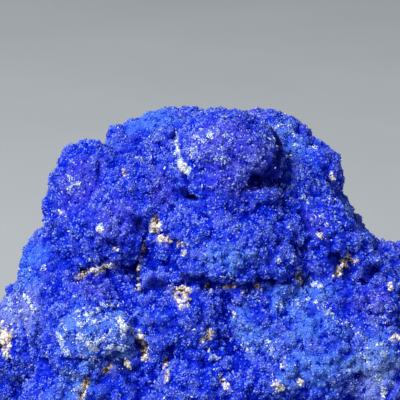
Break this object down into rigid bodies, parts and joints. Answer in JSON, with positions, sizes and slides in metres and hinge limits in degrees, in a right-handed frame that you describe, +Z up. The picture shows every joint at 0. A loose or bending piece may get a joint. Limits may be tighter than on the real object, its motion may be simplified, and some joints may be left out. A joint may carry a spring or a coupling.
{
  "type": "azurite specimen",
  "caption": "Knobbly mass of deep blue azurite with a druse of tiny crystals and clay in its creases, cut flat below to rest.",
  "frame": {"origin": "under the middle of the specimen, on its flat resting face", "axes": "+Z up out of the resting face, +X along the specimen's long side, -Y towards its front"},
  "size_m": [0.062, 0.045, 0.043],
  "materials": {
    "azurite": "velvety druse of tiny deep blue crystals",
    "clay": "dry matt clay left in the creases"
  },
  "bodies": {
    "root": {"azurite_mass": "azurite"}
  },
  "joints": []
}
